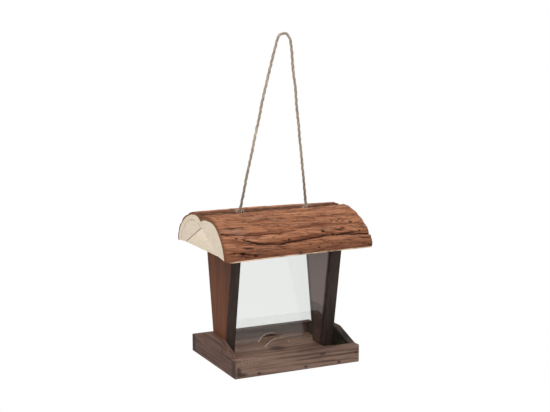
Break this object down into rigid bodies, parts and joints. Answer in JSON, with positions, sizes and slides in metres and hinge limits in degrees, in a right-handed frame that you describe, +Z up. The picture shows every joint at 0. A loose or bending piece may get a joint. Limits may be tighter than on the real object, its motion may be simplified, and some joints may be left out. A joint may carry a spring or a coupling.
{
  "type": "bird feeder",
  "caption": "Hanging wooden bird feeder: a low tray, a seed hopper with clear panels between tapered walls, a bark log roof that lifts along its twisted rope.",
  "frame": {"origin": "middle of the tray's underside", "axes": "+Z up, +X along the ridge to the right, -Y to the front of the picture"},
  "size_m": [0.238, 0.1849, 0.4936],
  "materials": {
    "tray_wood": "dark stained, rough sawn",
    "wall_wood": "red-brown stained",
    "pale_wood": "bare, sawn",
    "bark": "natural pine bark",
    "acrylic": "clear, polished",
    "rope": "twisted jute",
    "nail_steel": "dull, darkened"
  },
  "bodies": {
    "base": {"tray_floor": "tray_wood", "front_rim": "tray_wood", "rear_rim": "tray_wood", "left_rim": "tray_wood", "right_rim": "tray_wood", "left_wall": "wall_wood", "right_wall": "wall_wood", "front_rim_nails": "nail_steel", "rear_rim_nails": "nail_steel", "left_rim_nail": "nail_steel", "right_rim_nail": "nail_steel", "floor_nails": "nail_steel", "rope_loop": "rope", "left_rope_tail": "rope", "right_rope_tail": "rope", "left_knot": "rope", "right_knot": "rope"},
    "roof": {"front_slab_wood": "pale_wood", "front_slab_bark": "bark", "front_slab_nails": "nail_steel", "rear_slab_wood": "pale_wood", "rear_slab_bark": "bark", "rear_slab_nails": "nail_steel", "left_gable_block": "pale_wood", "right_gable_block": "pale_wood"},
    "front_panel": {"front_panel": "acrylic"},
    "rear_panel": {"rear_panel": "acrylic"}
  },
  "joints": [
    {"name": "roof_lift", "type": "slide", "parent": "base", "child": "roof", "axis": [0, 0, 1], "range_m": [0, 0.09], "deforming": ["rope_loop", "left_rope_tail", "right_rope_tail"]},
    {"name": "front_panel_slide", "type": "slide", "parent": "base", "child": "front_panel", "axis": [0, -0.1739, 0.9848], "range_m": [0, 0.012]},
    {"name": "rear_panel_slide", "type": "slide", "parent": "base", "child": "rear_panel", "axis": [0, 0.1739, 0.9848], "range_m": [0, 0.012]}
  ]
}
